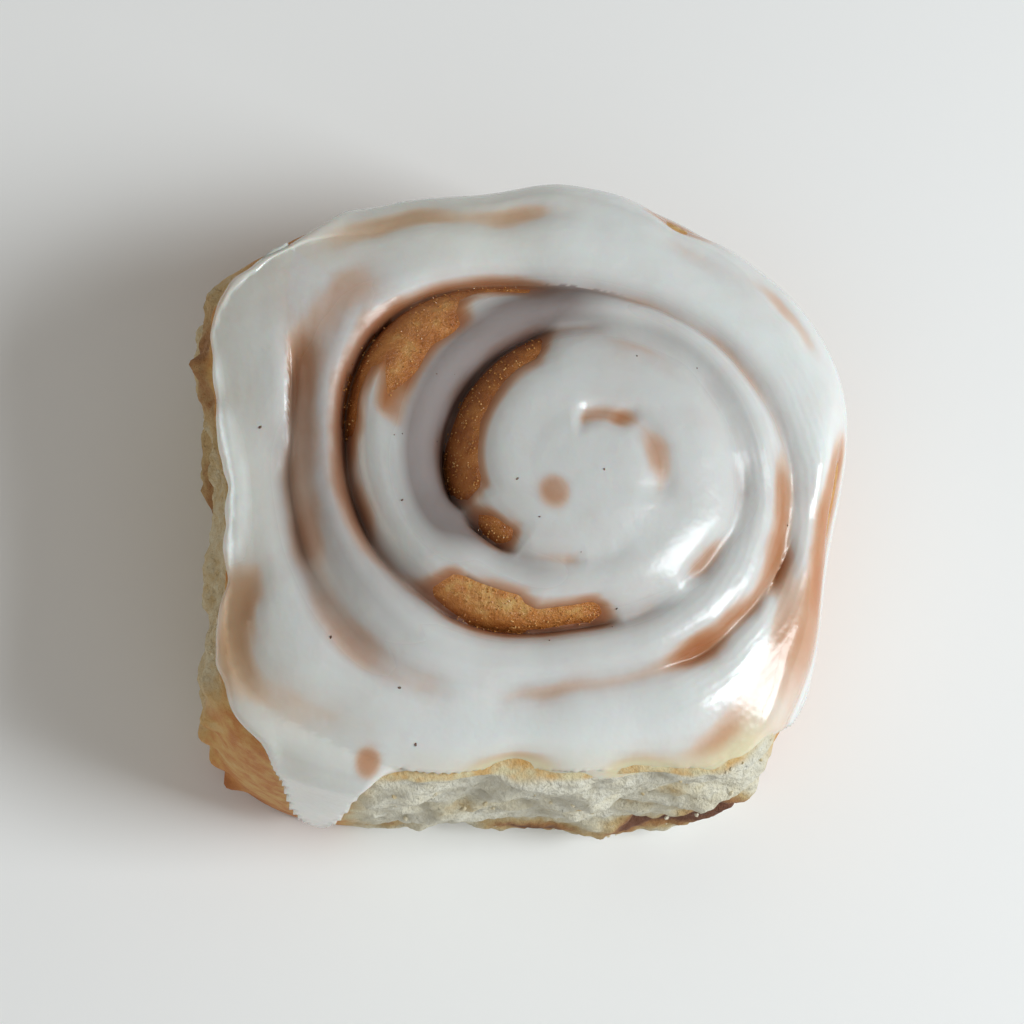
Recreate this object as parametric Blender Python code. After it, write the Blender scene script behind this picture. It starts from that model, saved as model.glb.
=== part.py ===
"""Iced cinnamon roll, pulled from a pan of rolls: a coil of dough, the cinnamon filling rolled up in it, and the icing.

Metres, +Z up. The roll stands on z = 0 and the middle of its box is over the origin.

A place on the roll is given as turns and reach. Turns count clockwise seen from above: a whole number is the right
side, and 0.25, 0.5 and 0.75 more are the front, the left and the back. Reach is the distance from the coil's middle.
The seam is the line between one layer of dough and the next. It starts near the middle and leaves at the back left.
"""

import math
from collections import namedtuple

import bmesh
import bpy
from mathutils import Vector, noise

# The whole roll
DOUGH_HEIGHT = 0.0465
COIL_MIDDLE = (0.0050, -0.0038)
DOME_DROP = 0.0105
DOME_POWER = 1.9

# The outline: (turns, reach in millimetres). The corners on the left were pressed into the pan's next rolls.
OUTLINE = (
    (0.000, 37.0),
    (0.042, 36.6),
    (0.125, 42.0),
    (0.167, 43.2),
    (0.208, 40.0),
    (0.250, 39.4),
    (0.292, 40.6),
    (0.375, 53.5),
    (0.408, 56.2),
    (0.458, 49.0),
    (0.500, 47.0),
    (0.542, 51.0),
    (0.583, 56.6),
    (0.617, 53.4),
    (0.667, 49.0),
    (0.708, 45.8),
    (0.750, 46.2),
    (0.833, 44.2),
    (0.917, 43.0),
)

# The seam: (turns, reach in millimetres, depth of its groove below the crowns in millimetres)
SEAM = (
    (0.40, 4.4, 1.0),
    (0.50, 6.2, 1.2),
    (0.62, 8.3, 1.4),
    (0.75, 10.4, 1.6),
    (0.88, 13.6, 1.8),
    (1.00, 13.2, 1.6),
    (1.12, 11.6, 1.4),
    (1.25, 11.5, 1.6),
    (1.38, 13.5, 3.6),
    (1.50, 17.0, 6.5),
    (1.62, 20.0, 6.5),
    (1.75, 23.4, 4.2),
    (1.88, 24.5, 2.8),
    (2.00, 23.4, 2.8),
    (2.12, 20.4, 3.4),
    (2.25, 19.4, 4.6),
    (2.38, 25.0, 5.0),
    (2.50, 30.0, 5.0),
    (2.62, 34.6, 3.8),
    (2.75, 28.9, 3.0),
    (2.88, 29.9, 2.8),
    (3.00, 31.0, 3.0),
    (3.12, 28.8, 2.8),
    (3.25, 27.4, 2.4),
    (3.38, 35.9, 3.0),
    (3.50, 38.2, 3.8),
    (3.56, 41.5, 3.6),
    (3.62, 52.0, 3.0),
    (3.70, 70.0, 3.0),
)
SEAM_START = 25 / 60
SEAM_END = 217 / 60
START_EASE = 0.12
END_EASE = 0.04

# The layers and what lies between them
FLANK = 0.0052
TAIL_TAPER = 0.05
FILLING_THICKNESS = 0.0012
FILLING_THINNEST = 0.0005
GAP = 0.0003
FILLING_BOTTOM = 0.0006
FILLING_BELOW_GROOVE = 0.0002

# The wall: two torn stretches, in turns, and the baked stretches between them
TORN_FRONT = (0.135, 0.345)
TORN_LEFT = (0.415, 0.595)
TORN_FADE = 0.02
SHOULDER_BAKED = 0.0080
SHOULDER_TORN = 0.0022
SHOULDER_OF_LAYER = 0.6
FOOT = 0.0022
BULGE = 0.0010
# Where the torn wall leans inwards on its way down: (first turn, last turn, how far at the floor)
LEANS = (
    (0.24, 0.36, 0.0016),
    (0.40, 0.60, 0.0026),
)
LEAN_FADE = 0.08
CRAG = 0.0034
CRAG_SIZE = 0.0095
CRUMB = 0.0014
CRUMB_SIZE = 0.0035

# Scraps of the next rolls' crumb left on the torn walls: (turns, height, how far they stand out)
SCRAPS = (
    (0.580, 0.029, 0.0030),
    (0.560, 0.020, 0.0018),
    (0.450, 0.012, 0.0018),
    (0.420, 0.018, 0.0024),
    (0.215, 0.005, 0.0016),
    (0.282, 0.006, 0.0015),
)
SCRAP_WIDTH = 0.0046

# Icing
ICING_GAP = 0.0004
ICING_THICKNESS = 0.0011
ICING_GROOVE_FILL = 0.42
ICING_POOL = 0.0006
ICING_RIM = 0.0007

# Where the icing left the dough bare: (first turn, last turn, first strip, last strip) of the coil's layers.
# A layer's top is cut into strips, from 0 at its inner seam, and the last one is the groove over its outer seam.
BARE_PATCHES = (
    (2.58, 2.74, 3, 4),
    (1.50, 1.72, 4, 5),
    (1.40, 1.455, 4, 5),
    (2.255, 2.40, 4, 5),
    (3.00, 3.10, 4, 5),
    (2.085, 2.125, 4, 5),
)
BARE_EASE = 0.05

# How far down the wall the icing hangs, as a share of the wall: (turns, share)
ICING_HEM = (
    (0.00, 0.60),
    (0.06, 0.66),
    (0.11, 0.44),
    (0.16, 0.14),
    (0.24, 0.10),
    (0.31, 0.12),
    (0.355, 0.62),
    (0.375, 0.50),
    (0.42, 0.14),
    (0.51, 0.10),
    (0.60, 0.12),
    (0.63, 0.14),
    (0.69, 0.58),
    (0.74, 0.44),
    (0.80, 0.66),
    (0.86, 0.42),
    (0.93, 0.62),
)

# How fine the meshes are: steps in a turn of the coil's first turn, of the rest, and of the outside
FIRST_STEPS = 30
INNER_STEPS = 60
OUTER_STEPS = 90
ACROSS_LAYER = (0.0, 0.15, 0.6)
GROOVE_STRIP = 2 * len(ACROSS_LAYER) - 1
WALL_LEVELS = (0.0, 0.10, 0.20, 0.30, 0.42, 0.54, 0.66, 0.78, 0.90, 1.0)
RIM_SHARE = 0.10
SHOULDER_SHARE = 0.30
FOOT_SHARE = 0.95
WELD = 1e-6


def clamp(value):
    return min(1.0, max(0.0, value))


def smooth(value):
    """0 below 0 and 1 above 1, with an S between."""
    value = clamp(value)
    return value * value * (3 - 2 * value)


def curve_through(rows, at, column=1):
    """Smooth curve through rows of (place, value, ...), at a place between the second and the last but one."""
    n = next(n for n in range(1, len(rows) - 1) if at < rows[n + 1][0] or n == len(rows) - 3)
    before, start, end, after = rows[n - 1 : n + 3]
    width = end[0] - start[0]
    k = (at - start[0]) / width
    slope_in = (end[column] - before[column]) / (end[0] - before[0]) * width
    slope_out = (after[column] - start[column]) / (after[0] - start[0]) * width
    rise = end[column] - start[column]
    cubic = slope_in + slope_out - 2 * rise
    square = rise - slope_in - cubic
    return start[column] + k * (slope_in + k * (square + k * cubic))


def curve_round(rows, turns):
    """The same through rows that go once round the roll."""
    before = [(place - 1, value) for place, value in rows[-2:]]
    after = [(place + 1, value) for place, value in rows[:3]]
    return curve_through([*before, *rows, *after], turns % 1.0)


def heading(turns):
    """Unit vector from the coil's middle, clockwise from the right side."""
    angle = -2 * math.pi * turns
    return math.cos(angle), math.sin(angle)


def place(turns, reach, z):
    x, y = heading(turns)
    return Vector((COIL_MIDDLE[0] + reach * x, COIL_MIDDLE[1] + reach * y, z))


def seam_reach(turns):
    return 0.001 * curve_through(SEAM, turns, 1)


def opening(turns):
    """1 along the seam, falling to 0 at both of its ends, where the dough is baked shut."""
    return smooth((turns - SEAM_START) / START_EASE) * smooth((SEAM_END - turns) / END_EASE)


def seam_depth(turns):
    """Depth of the groove over the seam."""
    return 0.001 * curve_through(SEAM, turns, 2) * opening(turns)


def slot(turns):
    """Half the width of the slot that the filling lies in."""
    return (FILLING_THICKNESS / 2 + GAP) * opening(turns)


def turns_between(turns, start, end, fade=TORN_FADE):
    """1 between two places round the roll and 0 elsewhere."""
    around = turns % 1.0
    return smooth((around - start) / fade + 0.5) * smooth((end - around) / fade + 0.5)


def torn(turns):
    return max(turns_between(turns, *TORN_FRONT), turns_between(turns, *TORN_LEFT))


def lean_of(turns):
    return sum(lean * turns_between(turns, start, end, LEAN_FADE) for start, end, lean in LEANS)


def wall_reach(turns):
    return 0.001 * curve_round(OUTLINE, turns)


def shoulder(turns):
    """Radius of the round edge between the outermost layer's top and the wall. At the strip's tail it is the rest."""
    share = torn(turns)
    radius = SHOULDER_TORN * share + SHOULDER_BAKED * (1 - share)
    radius = min(radius, SHOULDER_OF_LAYER * (wall_reach(turns) - seam_reach(turns - 1)))
    tail = wall_reach(SEAM_END) - seam_reach(SEAM_END)
    from_tail = min(turns - SEAM_END, SEAM_END + 1 - turns)
    return tail + (radius - tail) * smooth(from_tail / TAIL_TAPER)


def dome(turns, reach):
    return DOUGH_HEIGHT - DOME_DROP * (reach / wall_reach(turns)) ** DOME_POWER


def flank(share):
    """How far the side of a groove has dropped, from 1 in the seam to 0 on the crown: a quarter circle."""
    rest = 1 - clamp(share)
    return 1 - math.sqrt(1 - rest * rest)


class Layer:
    """One cut across a layer of dough, from its inner seam to its outer seam or to the shoulder."""

    def __init__(self, turns):
        self.turns = turns
        first_turn = turns < SEAM_START + 1 - WELD
        self.outermost = turns > SEAM_END - WELD
        inner_turns = SEAM_START if first_turn else turns - 1
        self.inner = seam_reach(inner_turns) + slot(inner_turns)
        self.inner_depth = seam_depth(inner_turns)
        if self.outermost:
            self.outer = wall_reach(turns) - shoulder(turns)
            self.outer_depth = 0.0
        else:
            self.outer = seam_reach(turns) - slot(turns)
            self.outer_depth = seam_depth(turns)
        self.flank = min(FLANK, (self.outer - self.inner) / 2)

    def reaches(self):
        rise = [self.inner + self.flank * share for share in ACROSS_LAYER]
        fall = [self.outer - self.flank * share for share in reversed(ACROSS_LAYER)]
        return rise + fall

    def height(self, reach):
        z = dome(self.turns, reach)
        if self.flank > WELD:
            z -= self.inner_depth * flank((reach - self.inner) / self.flank)
            z -= self.outer_depth * flank((self.outer - reach) / self.flank)
        return z


def scrap_relief(turns, z, reach):
    out = 0.0
    for at, height, proud in SCRAPS:
        along = ((turns - at + 0.5) % 1.0 - 0.5) * 2 * math.pi * reach
        out += proud * math.exp(-(along**2 + (z - height) ** 2) / SCRAP_WIDTH**2)
    return out


def wall_point(turns, share):
    """The dough's outline from the start of the shoulder, share 0, to the floor, share 1, with the torn relief."""
    reach = wall_reach(turns)
    radius = shoulder(turns)
    top = dome(turns, reach - radius)
    if share <= SHOULDER_SHARE:
        angle = math.pi / 2 * share / SHOULDER_SHARE
        out, z = radius * (math.sin(angle) - 1), top - radius * (1 - math.cos(angle))
    elif share <= FOOT_SHARE:
        down = (share - SHOULDER_SHARE) / (FOOT_SHARE - SHOULDER_SHARE)
        z = (top - radius) * (1 - down) + FOOT * down
        out = BULGE * math.sin(math.pi * down) - lean_of(turns) * down
    else:
        out, z = -FOOT * 0.7 - lean_of(turns), 0.0
    if z > 0.0:
        at = place(turns, reach, z)
        relief = CRAG * noise.noise(at / CRAG_SIZE) + CRUMB * noise.noise(at / CRUMB_SIZE)
        below_rim = smooth((share - RIM_SHARE) / (SHOULDER_SHARE - RIM_SHARE))
        out += (relief * torn(turns) + scrap_relief(turns, z, reach)) * below_rim
    return place(turns, reach + out, z)


def section_turns():
    """Where the strip is cut across, from its start in the coil's middle to its tail."""
    zones = (
        (SEAM_START, SEAM_START + 1, FIRST_STEPS),
        (SEAM_START + 1, SEAM_END, INNER_STEPS),
        (SEAM_END, SEAM_END + 1, OUTER_STEPS),
    )
    turns = [SEAM_START]
    for start, end, steps in zones:
        turns += [start + (n + 1) / steps for n in range(round((end - start) * steps))]
    return turns


def distinct(corners):
    """A face's corners without those that repeat the one before."""
    return [corner for n, corner in enumerate(corners) if corner != corners[n - 1]]


class MeshParts:
    """Points and faces of a mesh. Points in one place are made one, and faces that close up are left out."""

    def __init__(self):
        self.points = []
        self.faces = []
        self.known = {}

    def point(self, at):
        key = tuple(round(value / WELD) for value in at)
        if key not in self.known:
            self.known[key] = len(self.points)
            self.points.append(at)
        return self.known[key]

    def face(self, corners):
        kept = distinct(corners)
        if len(kept) > 2:
            self.faces.append(kept)

    def stitch(self, first, second):
        """Quads between two chains of as many points."""
        for n in range(len(first) - 1):
            self.face([first[n], first[n + 1], second[n + 1], second[n]])

    def to_object(self, name, material):
        mesh = bpy.data.meshes.new(name)
        work = bmesh.new()
        points = [work.verts.new(at) for at in self.points]
        for corners in self.faces:
            work.faces.new([points[c] for c in corners])
        bmesh.ops.recalc_face_normals(work, faces=work.faces)
        work.to_mesh(mesh)
        work.free()
        mesh.materials.append(material)
        mesh.shade_smooth()
        mesh.set_sharp_from_angle(angle=math.radians(50))
        made = bpy.data.objects.new(name, mesh)
        bpy.context.scene.collection.objects.link(made)
        return made


Cut = namedtuple("Cut", "top seam wall foot")


def cut_dough(parts, turns):
    """One cut across the strip: its top, its side in the seam or on the wall, and its inner foot."""
    layer = Layer(turns)
    top = [parts.point(place(turns, reach, layer.height(reach))) for reach in layer.reaches()]
    seam, wall = [], []
    if turns < SEAM_END + WELD:
        seam = [top[-1], parts.point(place(turns, layer.outer, 0.0))]
    if layer.outermost:
        wall = [top[-1], *(parts.point(wall_point(turns, share)) for share in WALL_LEVELS[1:])]
    return Cut(top, seam, wall, parts.point(place(turns, layer.inner, 0.0)))


def make_dough(material):
    """The strip of dough, coiled up. Its start is one with the core, and its tail with the layer before."""
    parts = MeshParts()
    middle_top = parts.point(place(0.0, 0.0, DOUGH_HEIGHT))
    middle_floor = parts.point(place(0.0, 0.0, 0.0))
    turns = section_turns()
    cuts = [cut_dough(parts, at) for at in turns]
    for at, before, now in zip(turns[1:], cuts, cuts[1:]):
        parts.stitch(before.top, now.top)
        if now.seam:
            parts.stitch(before.seam, now.seam)
        else:
            parts.stitch(before.wall, now.wall)
        feet = [side[-1] for side in (before.wall, before.seam) if side]
        parts.face([*feet, before.foot, now.foot, (now.seam or now.wall)[-1]])
        if at > SEAM_START + 1 + WELD:
            parts.face([before.foot, before.top[0], now.top[0], now.foot])
        else:
            parts.face([middle_top, before.top[0], now.top[0]])
            parts.face([middle_floor, before.foot, now.foot])
    return parts.to_object("dough", material)


def make_filling(material):
    """The sheet of cinnamon filling, coiled up in the slot of the dough."""
    parts = MeshParts()
    before = None
    for turns in section_turns():
        half = slot(turns) - GAP
        if turns > SEAM_END or half < FILLING_THINNEST / 2:
            continue
        reach = seam_reach(turns)
        top = dome(turns, reach) - seam_depth(turns) - FILLING_BELOW_GROOVE
        corners = (
            (reach - half, FILLING_BOTTOM),
            (reach + half, FILLING_BOTTOM),
            (reach + half, top),
            (reach - half, top),
        )
        ring = [parts.point(place(turns, r, z)) for r, z in corners]
        if before:
            parts.stitch([*before, before[0]], [*ring, ring[0]])
        else:
            parts.face(ring)
        before = ring
    parts.face(before)
    return parts.to_object("filling", material)


def is_bare(turns, strip):
    return any(a <= turns < b and low <= strip <= high for a, b, low, high in BARE_PATCHES)


def groove_fill(turns):
    """Share of a groove's depth that icing fills. It thins out towards a bare patch."""
    nearest = min(max(start - turns, turns - end, 0.0) for start, end, _, _ in BARE_PATCHES)
    return ICING_GROOVE_FILL * smooth(nearest / BARE_EASE)


def icing_section(turns):
    """(underside, top side) of the icing across one layer, and down the wall on the outermost one."""
    layer = Layer(turns)
    under, over = [], []
    for reach in layer.reaches():
        z = layer.height(reach)
        groove = dome(turns, reach) - z
        thick = ICING_THICKNESS + groove_fill(turns) * groove
        under.append(place(turns, reach, z + ICING_GAP))
        over.append(place(turns, reach, z + ICING_GAP + thick))
    if layer.outermost:
        hem = curve_round(ICING_HEM, turns)
        for level in WALL_LEVELS[1:-1]:
            share = min(level, hem)
            on_wall = wall_point(turns, share)
            lean = math.pi / 2 * clamp(share / SHOULDER_SHARE)
            x, y = heading(turns)
            outward = Vector((x * math.sin(lean), y * math.sin(lean), math.cos(lean)))
            thick = ICING_RIM if share == hem else ICING_THICKNESS + ICING_POOL * share
            under.append(on_wall + outward * ICING_GAP)
            over.append(on_wall + outward * (ICING_GAP + thick))
    return under, over


def zip_chains(first, second):
    """Triangles between two chains of (place, point), each going on to whichever next place comes first."""
    cells = []
    n = m = 0
    while n < len(first) - 1 or m < len(second) - 1:
        on_first = m == len(second) - 1 or (n < len(first) - 1 and first[n + 1][0] <= second[m + 1][0])
        tip = first[n + 1] if on_first else second[m + 1]
        cells.append((tip[0], [first[n][1], second[m][1], tip[1]]))
        n, m = (n + 1, m) if on_first else (n, m + 1)
    return cells


def icing_cells(parts):
    """The icing's underside as cells, and the point of the top side over each of its points."""
    middle = parts.point(place(0.0, 0.0, DOUGH_HEIGHT + ICING_GAP))
    over_of = {middle: parts.point(place(0.0, 0.0, DOUGH_HEIGHT + ICING_GAP + ICING_THICKNESS))}
    cells, inside, outside = [], [], []
    before = None
    for turns in section_turns():
        under, over = icing_section(turns)
        now = [parts.point(at) for at in under]
        over_of.update(zip(now, (parts.point(at) for at in over)))
        if before:
            shared = min(len(before), len(now))
            for strip in range(shared - 1):
                if not is_bare(turns, strip):
                    cells.append([before[strip], before[strip + 1], now[strip + 1], now[strip]])
            if turns < SEAM_START + 1 + WELD:
                cells.append([middle, before[0], now[0]])
        if turns < SEAM_END + WELD:
            inside.append((turns, now[GROOVE_STRIP]))
        if turns > SEAM_START + 1 - WELD:
            outside.append((turns - 1, now[0]))
        before = now
    cells += [cell for turns, cell in zip_chains(inside, outside) if not is_bare(turns, GROOVE_STRIP)]
    return cells, over_of


def make_icing(material):
    """A sheet that follows the dough, fills its grooves in part, hangs down the wall and leaves patches bare."""
    parts = MeshParts()
    cells, over_of = icing_cells(parts)
    rim = set()
    for cell in cells:
        corners = distinct(cell)
        if len(corners) < 3:
            continue
        parts.face(corners)
        parts.face([over_of[c] for c in reversed(corners)])
        for n, corner in enumerate(corners):
            edge = (corners[n - 1], corner)
            if edge[::-1] in rim:
                rim.remove(edge[::-1])
            else:
                rim.add(edge)
    for a, b in sorted(rim):
        parts.face([b, a, over_of[a], over_of[b]])
    return parts.to_object("icing", material)


def finish(name, colour, roughness):
    material = bpy.data.materials.new(name)
    material.use_nodes = True
    shader = material.node_tree.nodes["Principled BSDF"]
    shader.inputs["Base Color"].default_value = (*colour, 1.0)
    shader.inputs["Roughness"].default_value = roughness
    shader.inputs["Metallic"].default_value = 0.0
    material.diffuse_color = (*colour, 1.0)
    return material


def centre_on_origin(objects):
    """Moves the meshes together so that the middle of their box is over the origin."""
    points = [v.co for made in objects for v in made.data.vertices]
    middle = [(min(p[axis] for p in points) + max(p[axis] for p in points)) / 2 for axis in (0, 1)]
    for made in objects:
        for vertex in made.data.vertices:
            vertex.co.x -= middle[0]
            vertex.co.y -= middle[1]
    print("moved by", [round(-value, 6) for value in middle])


def main():
    for old in list(bpy.data.objects):
        bpy.data.objects.remove(old)
    dough = make_dough(finish("baked dough", (0.62, 0.40, 0.17), 0.6))
    filling = make_filling(finish("cinnamon filling", (0.19, 0.065, 0.02), 0.4))
    icing = make_icing(finish("sugar icing", (0.70, 0.70, 0.64), 0.25))
    centre_on_origin([dough, filling, icing])


main()
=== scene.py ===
# %% [markdown]
# This lesson dresses an iced cinnamon roll that was pulled from a pan of rolls: a strip of dough, spread
# with cinnamon sugar, rolled up, baked against its neighbours and covered with warm icing. The lesson works
# in that order: bread, filling, glaze, and then crumbs, grains of sugar and specks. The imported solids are
# loaded first, because they fix every size.

import math
import random
from functools import partial

import bpy
from mathutils import Euler, Matrix, Vector
from mathutils.noise import noise


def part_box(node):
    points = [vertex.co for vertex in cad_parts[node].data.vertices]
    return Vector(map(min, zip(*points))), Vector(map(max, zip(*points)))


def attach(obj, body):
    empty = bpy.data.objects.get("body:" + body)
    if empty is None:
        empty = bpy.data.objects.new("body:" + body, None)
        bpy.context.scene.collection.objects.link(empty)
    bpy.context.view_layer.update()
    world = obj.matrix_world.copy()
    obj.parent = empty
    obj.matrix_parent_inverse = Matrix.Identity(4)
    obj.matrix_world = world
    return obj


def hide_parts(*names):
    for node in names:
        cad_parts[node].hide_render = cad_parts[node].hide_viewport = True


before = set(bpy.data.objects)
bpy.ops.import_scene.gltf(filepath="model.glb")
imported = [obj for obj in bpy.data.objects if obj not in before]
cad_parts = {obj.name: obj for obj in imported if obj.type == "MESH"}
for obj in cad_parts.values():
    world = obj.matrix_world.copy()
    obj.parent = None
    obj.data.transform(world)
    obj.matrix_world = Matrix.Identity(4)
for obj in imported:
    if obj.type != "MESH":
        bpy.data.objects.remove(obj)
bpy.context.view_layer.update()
MM = 0.001
dough_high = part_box("dough")[1]


def select_only(piece=None):
    """Operators act on what is selected, so a step starts from one piece or nothing."""
    bpy.ops.object.select_all(action="DESELECT")
    if piece is not None:
        piece.select_set(True)
        bpy.context.view_layer.objects.active = piece


def edit_all(piece):
    """Opens a piece in edit mode with all of it selected."""
    select_only(piece)
    bpy.ops.object.mode_set(mode="EDIT")
    bpy.ops.mesh.select_all(action="SELECT")


def leave_edit():
    bpy.ops.object.mode_set(mode="OBJECT")


def report(piece, *more):
    """Prints how fine and how large a piece is."""
    size = [round(side / MM, 1) for side in piece.dimensions]
    print(piece.name, len(piece.data.polygons), "faces,", size, "mm", *more)


select_only()

# %% [markdown]
# The camera comes next, because every later step is judged through it. It looks down on the roll, tilted a
# little to the front and less to the left. Three directions describe it: back towards the lens, up in the
# picture, and right. As the columns of a matrix they turn the camera, and a small slide sets the framing.

# %% Camera
TILT_TO_FRONT = math.radians(16)
TILT_TO_LEFT = math.radians(6)
CAMERA_DISTANCE = 0.55
LENS = 138.1
LOOKED_AT = Vector((0.37 * MM, 0.90 * MM, 25 * MM))
SLIDE_RIGHT, SLIDE_UP = -1.71 * MM, -2.66 * MM

back = Vector((-math.tan(TILT_TO_LEFT), -math.tan(TILT_TO_FRONT), 1.0)).normalized()
up = (Vector((0.0, 1.0, 0.0)) - back * back.y).normalized()
right = up.cross(back)
bpy.ops.object.camera_add()
camera = bpy.context.object
camera.data.lens = LENS
turned = Matrix((right, up, back)).transposed().to_4x4()
stand = LOOKED_AT + back * CAMERA_DISTANCE + right * SLIDE_RIGHT + up * SLIDE_UP
camera.matrix_world = Matrix.Translation(stand) @ turned
bpy.context.scene.camera = camera
print("camera stands at", [round(value, 3) for value in camera.location])

# %% [markdown]
# Light decides how wet the icing looks. One large soft window stands to the right and slightly in front, so
# that it breaks into long bluish streaks along the grooves and leaves the left sides of the layers in
# shade. A weak broad light in front, a small warm reflector low on the left and a dim sky lift the shade.
# The floor is plain and pale, and the Standard view keeps colours as set.

# %% Floor and light
bpy.context.scene.view_settings.view_transform = "Standard"


def put(socket, value):
    """Gives a socket a number, a colour's three parts, or another socket's output."""
    if isinstance(value, bpy.types.NodeSocket):
        socket.id_data.links.new(value, socket)
    elif isinstance(value, tuple):
        socket.default_value = (*value, 1)
    else:
        socket.default_value = value


def feed(node, **values):
    """Fills a node's sockets by name, with _ for each space."""
    for name, value in values.items():
        put(node.inputs[name.replace("_", " ")], value)


def shader_of(material):
    return material.node_tree.nodes["Principled BSDF"]


def new_material(name, **values):
    """A material with one Principled shader, which starts from plain values."""
    material = bpy.data.materials.new(name)
    material.use_nodes = True
    feed(shader_of(material), **values)
    return material


def area_light(name, place, size, power, colour):
    """A rectangular light that faces the roll."""
    bpy.ops.object.light_add(type="AREA", location=place)
    lamp = bpy.context.object
    lamp.name = name
    lamp.rotation_euler = (lamp.location - LOOKED_AT).to_track_quat("Z", "Y").to_euler()
    lamp.data.shape = "RECTANGLE"
    lamp.data.size, lamp.data.size_y = size
    lamp.data.energy = power
    lamp.data.color = colour
    print("light", name, power, "W")


bpy.ops.mesh.primitive_plane_add(size=6)
floor = bpy.context.object
floor.name = "floor"
floor.data.materials.append(new_material("pale_floor", Base_Color=(0.90, 0.90, 0.89), Roughness=0.8))

area_light("window", (0.66, -0.13, 0.56), (0.36, 0.52), 6.8, (0.90, 0.96, 1.0))
area_light("room", (-0.10, -0.70, 0.60), (0.9, 0.9), 1.1, (0.93, 0.97, 1.0))
area_light("reflector", (-0.60, 0.02, 0.10), (0.4, 0.2), 0.40, (1.0, 0.93, 0.80))
world = bpy.context.scene.world or bpy.data.worlds.new("sky")
bpy.context.scene.world = world
world.use_nodes = True
feed(world.node_tree.nodes["Background"], Color=(1.0, 0.96, 0.90), Strength=0.26)

# %% [markdown]
# A coil is easiest to model in its own coordinates. Turns count round it, clockwise from above: whole
# numbers are on the right, and a quarter, a half and three quarters more are the front, the left and the
# back. Reach is the distance from its middle. The seam between two layers is then reach as a function of
# turns. The solids were made from the same few sizes, so the bread lands where they stand.

# %% The seam and the outline
COIL_MIDDLE = (5.283 * MM, -2.979 * MM)
SEAM_START, SEAM_END = 25 / 60, 217 / 60
# (turns, reach in mm, depth of the groove over the seam in mm)
SEAM = (
    (0.4, 4.4, 1.0), (0.5, 6.2, 1.2), (0.62, 8.3, 1.4), (0.75, 10.4, 1.6), (0.88, 13.6, 1.8),
    (1.0, 13.2, 1.6), (1.12, 11.6, 1.4), (1.25, 11.5, 1.6), (1.38, 13.5, 3.6), (1.5, 17.0, 6.5),
    (1.62, 20.0, 6.5), (1.75, 23.4, 4.2), (1.88, 24.5, 2.8), (2.0, 23.4, 2.8), (2.12, 20.4, 3.4),
    (2.25, 19.4, 4.6), (2.38, 25.0, 5.0), (2.5, 30.0, 5.0), (2.62, 34.6, 3.8), (2.75, 28.9, 3.0),
    (2.88, 29.9, 2.8), (3.0, 31.0, 3.0), (3.12, 28.8, 2.8), (3.25, 27.4, 2.4), (3.38, 35.9, 3.0),
    (3.5, 38.2, 3.8), (3.56, 41.5, 3.6), (3.62, 52.0, 3.0), (3.7, 70.0, 3.0),
)
# (turns, reach in mm)
OUTLINE = (
    (0.0, 37.0), (0.042, 36.6), (0.125, 42.0), (0.167, 43.2), (0.208, 40.0), (0.25, 39.4), (0.292, 40.6),
    (0.375, 53.5), (0.408, 56.2), (0.458, 49.0), (0.5, 47.0), (0.542, 51.0), (0.583, 56.6), (0.617, 53.4),
    (0.667, 49.0), (0.708, 45.8), (0.75, 46.2), (0.833, 44.2), (0.917, 43.0),
)


def clamp(value):
    return min(1.0, max(0.0, value))


def smooth(value):
    """0 below 0 and 1 above 1, with an S between."""
    value = clamp(value)
    return value * value * (3 - 2 * value)


def mix(start, end, share):
    return start + (end - start) * share


def curve_through(rows, at, column=1):
    """Smooth curve through rows of (place, value, ...), between the second and the last but one."""
    n = next(n for n in range(1, len(rows) - 1) if at < rows[n + 1][0] or n == len(rows) - 3)
    before, start, end, after = rows[n - 1 : n + 3]
    width = end[0] - start[0]
    k = (at - start[0]) / width
    slope_in = (end[column] - before[column]) / (end[0] - before[0]) * width
    slope_out = (after[column] - start[column]) / (after[0] - start[0]) * width
    rise = end[column] - start[column]
    cubic = slope_in + slope_out - 2 * rise
    square = rise - slope_in - cubic
    return start[column] + k * (slope_in + k * (square + k * cubic))


def curve_round(rows, turns):
    """The same through rows that go once round the roll."""
    before = [(place - 1, value) for place, value in rows[-2:]]
    after = [(place + 1, value) for place, value in rows[:3]]
    return curve_through([*before, *rows, *after], turns % 1.0)


def place_of(turns, reach, z):
    angle = -2 * math.pi * turns
    return Vector((COIL_MIDDLE[0] + reach * math.cos(angle), COIL_MIDDLE[1] + reach * math.sin(angle), z))


START_EASE, END_EASE = 0.12, 0.04


def seam_reach(turns):
    return MM * curve_through(SEAM, turns)


def open_seam(turns):
    """1 along the seam and 0 at its ends, where the dough has baked shut."""
    return smooth((turns - SEAM_START) / START_EASE) * smooth((SEAM_END - turns) / END_EASE)


def groove_depth(turns):
    return MM * curve_through(SEAM, turns, 2) * open_seam(turns)


def wall_reach(turns):
    return MM * curve_round(OUTLINE, turns)


print("seam from", round(seam_reach(SEAM_START) / MM, 1), "to", round(seam_reach(SEAM_END) / MM, 1), "mm out")

# %% [markdown]
# Two sides of the roll were torn from the next rolls and two were baked free. A baked edge is a wide soft
# shoulder, while a torn one breaks sharply. This cell describes one cut across the coil: where a layer
# begins and ends, how its crown swells and drops into the grooves, and how the outermost layer turns over
# its shoulder down to the floor. Bread and glaze both ask these cuts for their height.

# %% One cut across the coil
DOUGH_HEIGHT = dough_high.z
DOME_DROP, DOME_POWER = 10.5 * MM, 1.9
FLANK, SOFT_FLANK, SOFT_SHARE = 6.4 * MM, 8.5 * MM, 0.75
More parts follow.
